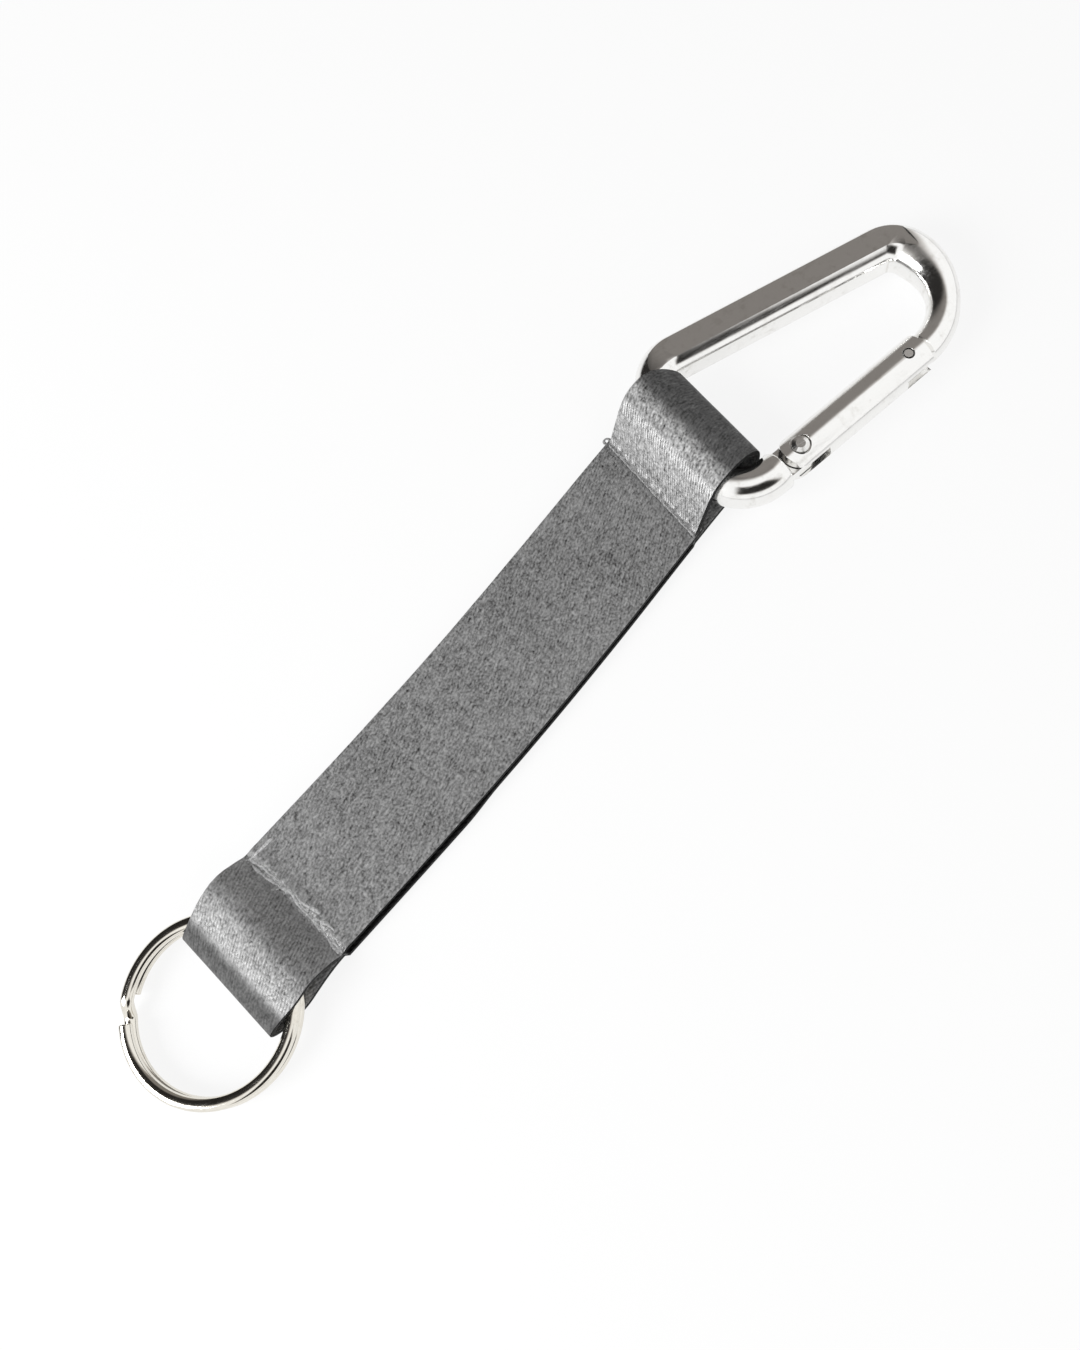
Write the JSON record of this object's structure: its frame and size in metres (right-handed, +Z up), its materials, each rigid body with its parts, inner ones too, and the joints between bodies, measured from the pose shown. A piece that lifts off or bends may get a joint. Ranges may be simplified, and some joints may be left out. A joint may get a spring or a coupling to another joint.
{
  "type": "lanyard keychain",
  "caption": "Short grey webbing strap folded flat, with a spring-gate carabiner in one sewn loop and a steel split ring in the other.",
  "frame": {"origin": "on the underside of the strap, at the middle of its length and width, where it lies on the floor", "axes": "+X along the strap towards the carabiner, +Z up from the floor that the keychain lies on"},
  "size_m": [0.2051, 0.0428, 0.0121],
  "materials": {
    "webbing": "grey satin polyester webbing with a fine diagonal weave",
    "nickel_steel": "bright nickel plate on spring steel",
    "polished_aluminium": "bright polished aluminium",
    "gate_aluminium": "bright polished aluminium",
    "rivet_steel": "plain steel",
    "pin_steel": "plain steel",
    "plunger_steel": "plain steel",
    "spring_steel": "spring steel wire"
  },
  "bodies": {
    "strap": {"webbing_strap": "webbing"},
    "ring": {"split_ring": "nickel_steel"},
    "carabiner": {"carabiner_body": "polished_aluminium", "hinge_rivet": "rivet_steel"},
    "gate_arm": {"gate": "gate_aluminium", "latch_pin": "pin_steel", "gate_spring": "spring_steel"},
    "pusher": {"spring_plunger": "plunger_steel"}
  },
  "joints": [
    {"name": "ring_turn", "type": "hinge", "parent": "strap", "child": "ring", "pos_m": [-0.07029, -0.0003, 0.00286], "axis": [-0.0432, 0, 0.9991], "continuous": true},
    {"name": "carabiner_swing", "type": "hinge", "parent": "strap", "child": "carabiner", "pos_m": [0.06131, 0.0013, 0.00605], "axis": [0.3681, 0.9298, 0], "range_deg": [-25, 20]},
    {"name": "gate_hinge", "type": "hinge", "parent": "carabiner", "child": "gate_arm", "pos_m": [0.06878, -0.01677, 0.00559], "axis": [0.0311, -0.0123, 0.9994], "range_deg": [0, 32], "stiffness_Nm_per_rad": 0.006, "springref_deg": -28.65},
    {"name": "pusher_slide", "type": "slide", "parent": "gate_arm", "child": "pusher", "axis": [0.9866, -0.1597, -0.0327], "range_m": [0, 0.0008], "deforming": ["gate_spring"]}
  ],
  "couplings": [
    {"joint": "pusher_slide", "follows": "gate_hinge", "m_per_rad": 0.00123}
  ]
}
